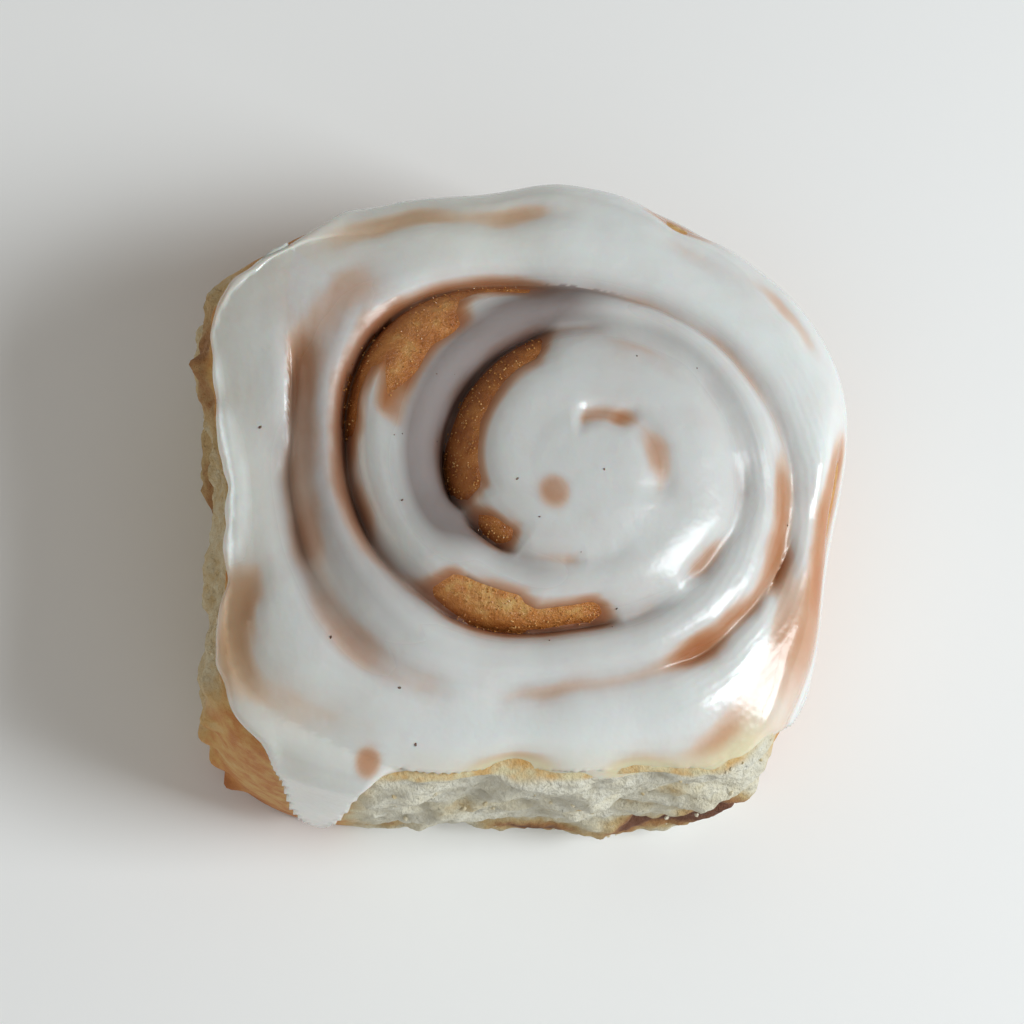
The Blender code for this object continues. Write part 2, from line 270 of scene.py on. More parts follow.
# In a groove deeper than this the inner flank takes more than half of the layer
DEEP, DEEP_EASE, DEEP_SHARE = 4.5 * MM, 2 * MM, 0.70
TINY = 1e-6
TORN_FRONT, TORN_LEFT = (0.135, 0.345), (0.415, 0.595)
TORN_FADE = 0.02
SHOULDER_BAKED, SHOULDER_TORN, SHOULDER_OF_LAYER = 8.0 * MM, 2.2 * MM, 0.70
SHOULDER_FADE = 0.08
TAIL_TAPER = 0.05
SHOULDER_SHARE, FOOT_SHARE = 0.30, 0.95
FOOT, FOOT_TUCK, BULGE = 2.2 * MM, 0.7, 1.0 * MM
# (first turn, last turn, how far the wall leans inwards at the floor)
LEANS, LEAN_FADE = ((0.24, 0.36, 1.6 * MM), (0.40, 0.60, 2.6 * MM)), 0.08
SWELL, SWELL_SIZE = 0.45 * MM, 14 * MM


def between(turns, start, end, fade=TORN_FADE):
    """1 between two places round the roll and 0 elsewhere."""
    around = turns % 1.0
    return smooth((around - start) / fade + 0.5) * smooth((end - around) / fade + 0.5)


def torn(turns, fade=TORN_FADE):
    return max(between(turns, *TORN_FRONT, fade), between(turns, *TORN_LEFT, fade))


def lean_of(turns):
    return sum(lean * between(turns, first, last, LEAN_FADE) for first, last, lean in LEANS)


def flank_drop(share):
    """How far a groove's side has dropped, from 1 in the seam to 0 on the crown: a quarter circle."""
    rest = 1 - clamp(share)
    return 1 - math.sqrt(1 - rest * rest)


def crown_height(turns, reach, wall):
    """Height of the roll's dome, with the slow swelling of risen dough."""
    z = DOUGH_HEIGHT - DOME_DROP * (reach / wall) ** DOME_POWER
    return z - SWELL * (0.5 + 0.5 * noise(place_of(turns, reach, 0) / SWELL_SIZE))


class Cut:
    """One cut across a layer of the coil."""

    def __init__(self, turns):
        self.turns = turns
        self.outermost = turns > SEAM_END - TINY
        self.inner_turns = max(turns - 1, SEAM_START)
        self.inner = seam_reach(self.inner_turns)
        self.inner_depth = groove_depth(self.inner_turns)
        self.wall = wall_reach(turns)
        self.torn = torn(turns)
        if self.outermost:
            self.shoulder = self.shoulder_radius()
            self.start_angle = self.shoulder_start()
            self.arc = self.shoulder * (math.pi / 2 - self.start_angle)
            self.outer = self.wall - self.shoulder * (1 - math.sin(self.start_angle))
            self.outer_depth = 0.0
            self.side_height = self.crown(self.outer) - self.shoulder * math.cos(self.start_angle)
            self.lean = lean_of(turns)
        else:
            self.outer = seam_reach(turns)
            self.outer_depth = groove_depth(turns)
        width = max(TINY, self.outer - self.inner)
        inner_share = mix(0.5, DEEP_SHARE, smooth((self.inner_depth - DEEP) / DEEP_EASE))
        self.outer_flank = min(FLANK, width * (1 - inner_share) + TINY)
        self.inner_flank = min(FLANK, width) if self.outermost else inner_share * min(2 * FLANK, width)
        self.soft_flank = min(SOFT_FLANK, width if self.outermost else SOFT_SHARE * width)

    def away_from_tail(self):
        return smooth(min(self.turns - SEAM_END, SEAM_END + 1 - self.turns) / TAIL_TAPER)

    def shoulder_radius(self):
        radius = mix(SHOULDER_BAKED, SHOULDER_TORN, torn(self.turns, SHOULDER_FADE))
        radius = min(radius, SHOULDER_OF_LAYER * (self.wall - self.inner))
        tail = wall_reach(SEAM_END) - seam_reach(SEAM_END)
        return mix(tail, radius, self.away_from_tail())

    def shoulder_start(self):
        """The dome's slope where the shoulder begins, so that one runs into the other."""
        slope = DOME_DROP * DOME_POWER / self.wall * (1 - self.shoulder / self.wall) ** (DOME_POWER - 1)
        return math.atan(slope) * self.away_from_tail()

    def crown(self, reach):
        return crown_height(self.turns, reach, self.wall)

    def groove(self, reach):
        """How far the grooves on both sides pull the surface below the crown."""
        fall = self.inner_depth * flank_drop((reach - self.inner) / self.inner_flank)
        return fall + self.outer_depth * flank_drop((self.outer - reach) / self.outer_flank)

    def soft_grooves(self, reach):
        """Both grooves, but wide and round at the bottom, as thick glaze leaves them."""
        inner_fall = self.inner_depth * (1 - smooth((reach - self.inner) / self.soft_flank))
        outer_fall = self.outer_depth * (1 - smooth((self.outer - reach) / self.soft_flank))
        return inner_fall, outer_fall

    def side(self, share):
        """A point of the outer side: how far beyond the outline, how high, how far down."""
        quarter = math.pi / 2
        if share <= SHOULDER_SHARE:
            angle = mix(self.start_angle, quarter, share / SHOULDER_SHARE)
            beyond = self.shoulder * (math.sin(angle) - 1)
            z = self.side_height + self.shoulder * math.cos(angle)
            return beyond, z, self.shoulder * (angle - self.start_angle)
        if share <= FOOT_SHARE:
            down = (share - SHOULDER_SHARE) / (FOOT_SHARE - SHOULDER_SHARE)
            z = self.side_height * (1 - down) + FOOT * down
            beyond = BULGE * math.sin(math.pi * down) - self.lean * down
            return beyond, z, self.arc + self.side_height - z
        angle = quarter * (share - FOOT_SHARE) / (1 - FOOT_SHARE)
        beyond = -self.lean - FOOT_TUCK * FOOT * (1 - math.cos(angle))
        z = FOOT * (1 - math.sin(angle))
        return beyond, z, self.arc + self.side_height - z


print("a torn cut and a baked cut have shoulders of",
      [round(Cut(turns).shoulder / MM, 1) for turns in (4.25, 4.0)], "mm")

# %% [markdown]
# A grid is the flat strip of dough, and this cell rolls it up. Its columns run along the coil and its rows
# across a layer. Columns crowd together where the sides are torn, since only there is the surface rough,
# and every turn has the same columns, so that neighbouring layers meet point to point and can be welded.
# Values such as how dark a point is baked, with its painted shade, are kept as attributes for the material to
# read.

# %% Rolling up a grid
# (turns, column): how the columns are shared out round one turn
COLUMNS = ((0.0, 0), (0.125, 45), (0.355, 185), (25 / 60, 220), (37 / 60, 330), (1.0, 480))
ROUND = COLUMNS[-1][1]
START_COLUMN, TAIL_COLUMN = 220, 3 * ROUND + 330
ACROSS = 12
CROWDING = 0.75
WELD = 2e-6
# (first column, last column) of the grids
IN_CORE = (START_COLUMN, START_COLUMN + ROUND)
IN_COIL = (START_COLUMN, TAIL_COLUMN)
OUTERMOST = (TAIL_COLUMN, TAIL_COLUMN + ROUND)


def turns_of(column):
    whole, rest = divmod(column, ROUND)
    n = next(n for n in range(len(COLUMNS) - 1) if rest < COLUMNS[n + 1][1])
    (start, first), (end, last) = COLUMNS[n], COLUMNS[n + 1]
    return whole + mix(start, end, (rest - first) / (last - first))


CUTS = [Cut(turns_of(column)) for column in range(START_COLUMN, OUTERMOST[1] + 1)]


def cut_at(column):
    return CUTS[column - START_COLUMN]


def crowded(share):
    """Moves even steps from 0 to 1 towards both ends, where a layer bends most."""
    return share - CROWDING * math.sin(2 * math.pi * share) / (2 * math.pi)


def roll_up(name, stretch, rows, point_of, marks=()):
    """A grid over a stretch of columns, with points and marks, its attributes, from point_of."""
    first, last = stretch
    select_only()
    bpy.ops.mesh.primitive_grid_add(x_subdivisions=last - first, y_subdivisions=rows, size=1)
    sheet = bpy.context.object
    sheet.name = name
    points = []
    values = []
    for vertex in sheet.data.vertices:
        column = first + round((vertex.co.x + 0.5) * (last - first))
        row = round((vertex.co.y + 0.5) * rows)
        x, y, z, *mark = point_of(cut_at(column), row)
        points += (x, y, z)
        values.append(mark)
    sheet.data.vertices.foreach_set("co", points)
    for mark, column_of_values in zip(marks, zip(*values)):
        attribute = sheet.data.attributes.new(mark, "FLOAT", "POINT")
        attribute.data.foreach_set("value", column_of_values)
    sheet.data.update()
    return sheet


def weld(name, sheets):
    """Joins sheets into one piece and merges the points where they meet."""
    select_only()
    for sheet in sheets:
        sheet.select_set(True)
    bpy.context.view_layer.objects.active = sheets[0]
    bpy.ops.object.join()
    piece = bpy.context.object
    piece.name = name
    edit_all(piece)
    bpy.ops.mesh.remove_doubles(threshold=WELD)
    bpy.ops.mesh.delete_loose()
    leave_edit()
    return piece


def recalculate(piece):
    """Turns all faces outwards."""
    edit_all(piece)
    bpy.ops.mesh.normals_make_consistent(inside=False)
    leave_edit()
    bpy.ops.object.shade_smooth()


print(len(CUTS), "cuts, from", round(CUTS[0].turns, 3), "to", round(CUTS[-1].turns, 3), "turns")

# %% [markdown]
# Warm icing lies thick on the crowns, pools in the grooves, thins out on a steep flank, and stops at bare
# places and at the edge. One number describes all of that: its thickness. This cell starts from an even
# coat and takes some away in blots, each given by where it lies along the coil and across the seam. Where
# the coat gets thin, the bread tints it, first pink and then brown. Round stains, and wide painted shade on
# the left side, only tint, and a streak on the left rim has dried.

# %% Where the glaze is thin or missing
# Thickness in mm: full, gone, at the very edge, and how much more than that hides the bread
COAT, GONE, EDGE_COAT, HIDES = 1.15, -0.5, -0.1, 1.05
COAT_NOISE, COAT_NOISE_SIZE = 0.20, 9 * MM
BLOT_END, BLOT_SIDE = 0.045, 3.2
HALO_END, HALO_SIDE, HALO, HALO_FULL = 0.08, 6.5, 0.30, 1.5
WOBBLE, WOBBLE_SIZE = 0.5, 4.5 * MM
# Along a seam: (first turn, last turn, first mm, last mm across, outwards from the seam, mm taken away)
SEAM_BLOTS = (
    (2.588, 2.66, -7.6, -1.2, 1.75), (2.55, 2.605, -7.6, -4.8, 1.35), (2.53, 2.72, -1.9, 0.9, 1.0),
    (2.64, 2.74, -2.8, -0.4, 0.7), (1.48, 1.715, -4.5, 0.4, 1.75), (1.44, 1.52, -2.4, 0.2, 0.8),
    (1.7, 1.78, -2.4, 0.5, 0.6), (1.375, 1.44, -2.8, 0.5, 1.8), (1.25, 1.37, -1.4, 0.8, 0.5),
    (1.15, 1.26, -0.9, 0.6, 0.3), (2.315, 2.4, -4.9, 0.2, 1.8), (2.215, 2.335, -2.7, 0.4, 1.7),
    (2.14, 2.225, -1.4, 0.8, 0.5), (2.47, 2.62, -1.5, 1.8, 0.84), (2.4, 2.48, -1.2, 1.8, 0.62),
    (2.43, 2.53, 0.8, 3.4, 0.42), (2.54, 2.64, 3.0, 9.0, 0.3), (2.97, 3.045, -3.4, -0.4, 0.8),
    (3.04, 3.16, -2.2, 0.4, 0.85), (3.14, 3.31, -1.9, 1.4, 0.52), (2.055, 2.112, -2.4, 0.0, 0.85),
    (1.98, 2.06, -1.4, 0.6, 0.45), (3.33, 3.48, -2.8, 2.4, 0.46), (3.46, 3.575, -3.9, 0.8, 0.52),
    (0.75, 0.86, -3.6, -0.6, 0.62), (0.84, 1.03, -3.6, -0.4, 0.44), (1.775, 1.875, -4.7, -2.1, 0.5),
    (2.72, 2.97, -1.8, 0.9, 0.5), (1.88, 2.0, -3.4, -0.6, 0.35),
)
# Along the outer edge: the same, counted down over the shoulder from its middle
EDGE_BLOTS = (
    (3.64, 3.69, -5.5, -1.0, 0.8), (3.695, 3.75, -7.0, -3.0, 0.62), (3.86, 3.915, -4.0, -0.5, 0.6),
    (3.8, 3.845, -7.5, -3.5, 0.42), (3.796, 3.822, -2.0, 4.0, 1.6), (3.965, 4.02, 0.2, 4.6, 0.62),
    (3.985, 4.07, 2.4, 7.6, 0.58), (3.955, 4.055, -2.8, 2.2, 0.86), (4.045, 4.175, -7.5, 5.0, 0.62),
    (4.41, 4.46, -6.0, -0.6, 0.96), (4.365, 4.415, -9.5, -4.0, 0.26), (4.262, 4.305, -3.0, 2.5, 1.5),
    (4.198, 4.226, -2.4, 2.5, 1.5), (4.15, 4.2, -4.5, 0.5, 0.45),
)
SPOT_FULL, SPOT_FALL = 1.25, 0.75
# Stains, which tint the glaze as if so many mm were missing, and in the last three wide painted shade over
# the left side: (turns, reach in mm, radius in mm, mm)
STAINS_AND_SHADE = (
    (0.405, 3.8, 2.8, 0.72), (0.35, 46.3, 2.0, 0.85), (0.945, 11.6, 3.0, 0.3), (0.3, 8.0, 4.0, 0.15),
    (0.605, 46.0, 10.0, 0.36), (0.5, 43.0, 6.0, 0.2), (0.4, 45.0, 9.0, 0.2),
)
# Painted mauve shade deep in the coil, written as the seam's blots are, but taking light from the glaze's
# colour and not glaze
PAINTED_SHADE_BLOTS = (
    (1.42, 1.77, 0.2, 6.0, 0.78), (2.38, 2.62, -1.0, 6.0, 0.26), (3.36, 3.56, -6.0, 2.4, 0.26),
    (2.56, 2.66, 3.0, 9.0, 0.2), (3.3, 3.66, 2.0, 14.0, 0.12), (1.28, 1.45, 0.0, 3.0, 0.25),
    (2.72, 2.98, -0.8, 1.6, 0.22), (1.8, 2.02, -0.8, 1.8, 0.22),
)
# Dried icing on the left rim: (first turn, last turn, first mm, last mm down from the shoulder's middle)
DRY = ((4.466, 4.536, -3.2, -0.4), (4.543, 4.559, -2.0, 0.8))
DRY_END, DRY_SIDE = 0.012, 0.8
DRY_COAT, DRY_NOISE, DRY_NOISE_SIZE = 0.25, 0.10, 1.3 * MM
# Far from every seam and edge
FAR = 9.0


def inside(value, first, last, ease):
    return smooth((value - first) / ease + 0.5) * smooth((last - value) / ease + 0.5)


def blots_near(blots, turns):
    """The blots that reach a cut: where they lie across it, what they take, and what their halo takes."""
    found = []
    for first, last, inner, outer, taken in blots:
        halo = taken * inside(turns, first, last, HALO_END)
        if halo > 0:
            found.append((inner, outer, taken * inside(turns, first, last, BLOT_END), halo))
    return found


for cut in CUTS:
    # Each cut finds the blots of painted shade near it, and the blots that take glaze away
    cut.inner_dusks = blots_near(PAINTED_SHADE_BLOTS, cut.inner_turns)
    cut.outer_dusks = [] if cut.outermost else blots_near(PAINTED_SHADE_BLOTS, cut.turns)
    cut.inner_blots = blots_near(SEAM_BLOTS, cut.inner_turns)
    cut.outer_blots = blots_near(EDGE_BLOTS if cut.outermost else SEAM_BLOTS, cut.turns)


def thinness(coat):
    """0 under a full coat and 1 where the bread is bare."""
    return 1 - smooth((coat - EDGE_COAT) / HIDES)


def dryness(cut, across_edge):
    """1 in the streak of dried icing, and 0 elsewhere."""
    if not cut.outermost:
        return 0.0
    return sum(inside(cut.turns, first, last, DRY_END) * inside(across_edge / MM, inner, outer, DRY_SIDE)
               for first, last, inner, outer in DRY)


def coat_at(cut, reach, across_edge, point):
    """Thickness of the glaze in mm, below 0 where it is gone, and how much the bread, the stains and the
    painted shade tint it.
    """
    wobble = WOBBLE * noise(point / WOBBLE_SIZE)
    coat = COAT + COAT_NOISE * noise(point / COAT_NOISE_SIZE)
    halo = 0.0
    for blots, across in ((cut.inner_blots, (reach - cut.inner) / MM), (cut.outer_blots, across_edge / MM)):
        for inner, outer, taken, wide in blots:
            coat -= taken * inside(across + wobble, inner, outer, BLOT_SIDE)
            halo += wide * inside(across + wobble, inner, outer, HALO_SIDE)
    flat = Vector((point.x, point.y, 0))
    # Stains, and painted shade on the left side, tint the glaze but take none away
    stain_and_shade = 0.0
    for turns, far, radius, taken in STAINS_AND_SHADE:
        away = (flat - place_of(turns, far * MM, 0)).length / MM
        stain_and_shade += taken * smooth(SPOT_FULL - SPOT_FALL * away / radius)
    dried = dryness(cut, across_edge)
    coat += dried * (DRY_COAT + DRY_NOISE * noise(point / DRY_NOISE_SIZE))
    tint = 1 - (1 - thinness(coat - stain_and_shade)) * (1 - HALO * min(1.0, halo / HALO_FULL))
    return coat, tint


print(len(SEAM_BLOTS) + len(EDGE_BLOTS), "blots take glaze away and", len(STAINS_AND_SHADE), "stains tint it")

# %% [markdown]
# Now the bread. Its torn sides are crumb: wide ledges where the dough pulled apart in layers, lumps of a
# few millimetres, and small pits. Noise at four sizes gives them, squeezed in height, because torn dough
# breaks along its layers. Scraps of the next rolls stick out at chosen places. Elsewhere the crust is
# smooth and only wrinkles, and the groove over the seam ends in a narrow crease for the filling.

# %% The bread's shape
CREASE, CREASE_WIDTH = 0.8 * MM, 0.6 * MM
WALL_ROWS, CORE_ROWS = 88, 6
CORE_DIRECTIONS = (6, 12, 24, 48, 96, 240, ROUND)
SHOULDER_ROWS, SIDE_ROWS = 14, 68
RIM_SHARE = 0.08
EDGE_BAKE, CREASE_SHADE = 0.12, 0.8 * MM
# How dark it is baked, from 0 to 1: on a crown, painted shade for each mm of groove, at most, and more
# painted shade in the crease
CROWN_BAKE, GROOVE_PAINTED_SHADE, MOST_BAKE, CREASE_PAINTED_SHADE = 0.43, 0.075, 0.66, 0.09
TORN_RIM_BAKE, CORE_BAKE = 0.14, 0.34
# The same for a baked wall and its foot, and for a torn one's rim and crumb, darker on the left
WALL_BAKE, WALL_BLOTCH, FOOT_BAKE, BROWN_FOOT = 0.31, 0.10, 0.20, 12 * MM
TORN_BAKE, LEFT_BAKE, CRUMB_BAKE, LEFT_CRUMB_BAKE = 0.10, 0.20, 0.02, 0.21
LEFT_SIDE = (0.38, 0.64)
# Crumb begins at this share of the side, on a ragged line
CRUMB_FROM, CRUMB_RAGGED, CRUMB_FADE = 0.10, 0.05, 0.08
SYRUP_EASE = 0.05
# (first turn, last turn, how much darker)
SYRUP = ((1.30, 1.80, 0.04), (2.92, 3.10, -0.08), (2.02, 2.14, -0.04), (2.18, 2.46, -0.13))
# Cinnamon on the torn walls, and in the long thin ones painted shadow lines under the crumb's ledges: (turns,
# height, half its length, half its height, how much darker), in mm
SMEARS_AND_SHADOW_LINES = (
    (0.19, 9, 6.5, 3.4, 0.8), (0.257, 7, 7.0, 1.8, 0.7), (0.205, 5, 3.0, 3.0, 0.45),
    (0.335, 8, 4.2, 3.5, 0.42), (0.166, 14, 4.6, 7.0, 0.6), (0.232, 20, 9.0, 1.4, 0.32),
    (0.3, 22, 5.0, 1.6, 0.2), (0.192, 27, 4.0, 2.0, 0.22), (0.156, 10, 3.0, 6.0, 0.5),
    (0.5, 12, 14.0, 1.8, 0.3), (0.54, 22, 6.0, 1.2, 0.22), (0.45, 24, 7.0, 1.2, 0.22),
    (0.556, 33, 9.0, 6.0, 0.28),
)
# (size of the lumps, how far they move the surface): from ledges to pits, in mm
CRUMB_NOISE = ((9.5, 2.3), (4.0, 1.2), (1.7, 0.5), (0.8, 0.2))
CRUMB_FLATTEN = 0.55
# Scraps of the next rolls on the torn sides: (turns, height, how far it stands out, width), in mm
SCRAPS = (
    (0.554, 34, 3.2, 1.9), (0.547, 30, 2.2, 1.8), (0.54, 24, 1.2, 2.6), (0.47, 18, 0.9, 3.2),
    (0.412, 27, 2.2, 1.8), (0.411, 19, 2.0, 1.9), (0.405, 10, 1.6, 2.0), (0.396, 4, 1.8, 1.6),
    (0.212, 6, 2.0, 4.2), (0.228, 9, 1.2, 2.4), (0.282, 6, 1.6, 2.6), (0.315, 9, 1.0, 2.2),
    (0.172, 22, 1.4, 2.6), (0.19, 14, 1.2, 2.2),
)


def along_wall(turns, at, reach):
    """The way round the wall from one place to another, the shorter way."""
    return ((turns - at + 0.5) % 1.0 - 0.5) * 2 * math.pi * reach


def scrap_relief(turns, z, reach):
    out = 0.0
    for at, height, proud, width in SCRAPS:
        along = along_wall(turns, at, reach)
        out += proud * MM * math.exp(-(along**2 + (z - height * MM) ** 2) / (width * MM) ** 2)
    return out


def smear_and_shadow_of(turns, z, reach):
    dark = 0.0
    for at, height, length, tall, strength in SMEARS_AND_SHADOW_LINES:
        along = along_wall(turns, at, reach)
        dark += strength * math.exp(-(along / (length * MM)) ** 2 - ((z - height * MM) / (tall * MM)) ** 2)
    return dark


def crumb_relief(point):
    at = Vector((point.x, point.y, point.z / CRUMB_FLATTEN))
    return sum(amount * MM * noise(at / (size * MM)) for size, amount in CRUMB_NOISE)


def crust_wrinkle(point):
    return 0.07 * MM * noise(point / (2.4 * MM))


def syrup(turns):
    """How much darker the syrup boiled the crust along a stretch of the seam."""
    return sum(dark * smooth((turns - first) / SYRUP_EASE) * smooth((last - turns) / SYRUP_EASE)
               for first, last, dark in SYRUP)


def bake_and_shade_of(cut, reach, groove):
    """How dark the top is: baked gold on the crowns, with painted shade browning it down the flanks and
    darkest in the crease.
    """
    to_inner = abs(reach - cut.inner) + FAR * (1 - open_seam(cut.inner_turns))
    to_outer = FAR if cut.outermost else abs(cut.outer - reach)
    nearer = cut.turns if cut.outer - reach < reach - cut.inner else cut.inner_turns
    # Painted shade: darker for each mm of groove, and darker still in the crease
    dark = min(MOST_BAKE, CROWN_BAKE + GROOVE_PAINTED_SHADE * groove / MM + syrup(nearer))
    dark += CREASE_PAINTED_SHADE * math.exp(-min(to_inner, to_outer) / CREASE_SHADE)
    near_rim = smooth((reach - cut.outer) / (5 * MM) + 1) if cut.outermost else 0.0
    return mix(dark, TORN_RIM_BAKE, near_rim * cut.torn)


def seam_lines(cut, from_inner, from_outer, share, width):
    """1 in the line over either seam and 0 between, however narrow the layer is."""
    line = open_seam(cut.inner_turns) * math.exp(-(from_inner / width) ** 2) * smooth(3 * (1 - share))
    if not cut.outermost:
        line += open_seam(cut.turns) * math.exp(-(from_outer / width) ** 2) * smooth(3 * share)
    return min(1.0, line)


def on_top(cut, row):
    """A row of the top's grids: its reach, how far beyond the shoulder's middle, its place on the crown."""
    reach = mix(cut.inner, cut.outer, crowded(row / ACROSS))
    edge = reach - cut.outer - (0.5 * cut.arc if cut.outermost else 0.0)
    return reach, edge, place_of(cut.turns, reach, cut.crown(reach))


def bread_top(cut, row):
    reach, edge, on_crown = on_top(cut, row)
    groove = cut.groove(reach)
    coat = coat_at(cut, reach, edge, on_crown)[0]
    edge_bake = EDGE_BAKE * (1 - cut.torn) if cut.outermost else EDGE_BAKE
    bake_and_shade = bake_and_shade_of(cut, reach, groove) + edge_bake * smooth((coat - GONE) / 0.5)
    crease = seam_lines(cut, reach - cut.inner, cut.outer - reach, row / ACROSS, CREASE_WIDTH)
    point = place_of(cut.turns, reach, cut.crown(reach) - groove - CREASE * crease)
    return (*point, 0.0, bake_and_shade, 1.0)


def core_turns(cut, row):
    """Turns in the core, in fewer directions towards the middle, so that no faces are slivers."""
    steps = CORE_DIRECTIONS[row]
    return cut.turns if row == CORE_ROWS else round(cut.turns * steps) / steps


def core_point(cut, row):
    turns, reach = core_turns(cut, row), cut.inner * row / CORE_ROWS
    return place_of(turns, reach, crown_height(turns, reach, wall_reach(turns)))


def bread_core(cut, row):
    return (*core_point(cut, row), 0.0, CORE_BAKE, 1.0)


def wall_share(row):
    if row <= SHOULDER_ROWS:
        return SHOULDER_SHARE * row / SHOULDER_ROWS
    if row <= SHOULDER_ROWS + SIDE_ROWS:
        return mix(SHOULDER_SHARE, FOOT_SHARE, (row - SHOULDER_ROWS) / SIDE_ROWS)
    return mix(FOOT_SHARE, 1.0, (row - SHOULDER_ROWS - SIDE_ROWS) / (WALL_ROWS - SHOULDER_ROWS - SIDE_ROWS))


def bread_wall(cut, row):
    share = wall_share(row)
    beyond, z, _ = cut.side(share)
    point = place_of(cut.turns, cut.wall + beyond, z)
    below_rim = smooth((share - RIM_SHARE) / (0.5 * SHOULDER_SHARE))
    above_floor = smooth(z / (2 * FOOT))
    relief = crumb_relief(point) * cut.torn + scrap_relief(cut.turns, z, cut.wall)
    relief += crust_wrinkle(point) * (1 - cut.torn)
    beyond += relief * below_rim * above_floor
    ragged = CRUMB_RAGGED * noise(point / (3 * MM))
    crumb = cut.torn * smooth((share - CRUMB_FROM - ragged) / CRUMB_FADE)
    blotch = WALL_BLOTCH * noise(point / (11 * MM))
    baked = WALL_BAKE + blotch + FOOT_BAKE * smooth((BROWN_FOOT - z) / BROWN_FOOT)
    left = between(cut.turns, *LEFT_SIDE)
    baked = mix(baked, TORN_BAKE + LEFT_BAKE * left, cut.torn)
    # The crumb darkens with cinnamon smears and painted shadow lines
    bake_and_shade = mix(baked, CRUMB_BAKE + LEFT_CRUMB_BAKE * left + smear_and_shadow_of(cut.turns, z, cut.wall), crumb)
    return (*place_of(cut.turns, cut.wall + beyond, z), crumb, bake_and_shade, 0.0)


def coil_sheets(core_point_of, top_point_of, side_point_of, side_rows, marks):
    """The four sheets of a coil: its core, its inner layers, its outermost layer and its outer side."""
    return [
        roll_up("core", IN_CORE, CORE_ROWS, core_point_of, marks),
        roll_up("coil", IN_COIL, ACROSS, top_point_of, marks),
        roll_up("outer_layer", OUTERMOST, ACROSS, top_point_of, marks),
        roll_up("side", OUTERMOST, side_rows, side_point_of, marks),
    ]


BREAD_MARKS = ("crumb", "bake_and_shade", "sticky")
bread_sheets = coil_sheets(bread_core, bread_top, bread_wall, WALL_ROWS, BREAD_MARKS)
print("bread so far:", sum(len(sheet.data.polygons) for sheet in bread_sheets), "faces")

# %% [markdown]
# The underside, which the photograph doesn't show, lay flat on the pan and is well browned, with the seam
# as a shallow line. It is rolled up from grids too, with the rows running inwards so that the faces look
# down, and then all sheets are welded into one closed piece of bread.

# %% The bread's underside
BASE_LINE, BASE_LINE_WIDTH, BASE_EDGE = 0.9 * MM, 0.9 * MM, 1.2 * MM
BASE_TAIL = 0.006
BASE_BAKE, BASE_LINE_BAKE = 0.62, 0.3
BASE_STEPS = (0.0, 0.10, 0.5, 0.90, 1.0)


def foot_reach(turns):
    """How far out the wall stands on the pan."""
    return wall_reach(turns) - lean_of(turns) - FOOT_TUCK * FOOT


def base_seam(turns):
    """The seam on the underside, which stays inside the wall's foot and meets it at the tail."""
    foot = foot_reach(turns)
    return mix(foot, min(seam_reach(turns), foot - BASE_EDGE), smooth((SEAM_END - turns) / BASE_TAIL))


def bread_base(cut, row):
    share = BASE_STEPS[-1 - row]
    inner = base_seam(cut.inner_turns)
    outer = foot_reach(cut.turns) if cut.outermost else base_seam(cut.turns)
    reach = mix(inner, outer, share)
    line = seam_lines(cut, reach - inner, outer - reach, share, BASE_LINE_WIDTH)
    return (*place_of(cut.turns, reach, BASE_LINE * line), 0.0, BASE_BAKE + BASE_LINE_BAKE * line, 0.0)


def base_core(cut, row):
    return (*place_of(cut.turns, cut.inner * (2 - row) / 2, 0.0), 0.0, BASE_BAKE, 0.0)


BASE_ROWS = len(BASE_STEPS) - 1
bread_sheets += [
    roll_up("base_core", IN_CORE, 2, base_core, BREAD_MARKS),
    roll_up("base_coil", IN_COIL, BASE_ROWS, bread_base, BREAD_MARKS),
    roll_up("base_outer", OUTERMOST, BASE_ROWS, bread_base, BREAD_MARKS),
]
bread = weld("bread", bread_sheets)
recalculate(bread)
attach(bread, "root")
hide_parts("dough")
report(bread)

# %% [markdown]
# Several finishes share two shader node groups: a soft mottled mask for blotches, and a fine grain for
# bumps. A group puts out only a mask, and each material adds its own colours and shader. Short helpers
# place the usual nodes, in the node tree of the sockets that they are given.

# %% Shared shader groups
def noise_group(name, detail, roughness):
    """Noise on Object coordinates, stretched so that Low gives 0 and High gives 1."""
    group = bpy.data.node_groups.new(name, "ShaderNodeTree")
    for socket, value in (("Scale", 200.0), ("Low", 0.35), ("High", 0.65)):
        made = group.interface.new_socket(name=socket, in_out="INPUT", socket_type="NodeSocketFloat")
        made.default_value = value
    group.interface.new_socket(name="Mask", in_out="OUTPUT", socket_type="NodeSocketFloat")
    source = group.nodes.new("NodeGroupInput").outputs
    where = group.nodes.new("ShaderNodeTexCoord").outputs
    pattern = group.nodes.new("ShaderNodeTexNoise")
    stretch = group.nodes.new("ShaderNodeMapRange")
    feed(pattern, Vector=where["Object"], Scale=source["Scale"], Detail=detail, Roughness=roughness)
    feed(stretch, Value=pattern.outputs["Fac"], From_Min=source["Low"], From_Max=source["High"])
    feed(group.nodes.new("NodeGroupOutput"), Mask=stretch.outputs["Result"])
    return group


MOTTLE = noise_group("mottle", 3.0, 0.55)
GRAIN = noise_group("grain", 6.0, 0.7)


def mask(tree, group, scale, low=0.35, high=0.65):
    """Places a shared group in a material with its own values."""
    node = tree.nodes.new("ShaderNodeGroup")
    node.node_tree = group
    feed(node, Scale=scale, Low=low, High=high)
    return node.outputs["Mask"]


def attribute(tree, name):
    node = tree.nodes.new("ShaderNodeAttribute")
    node.attribute_name = name
    return node.outputs["Fac"]


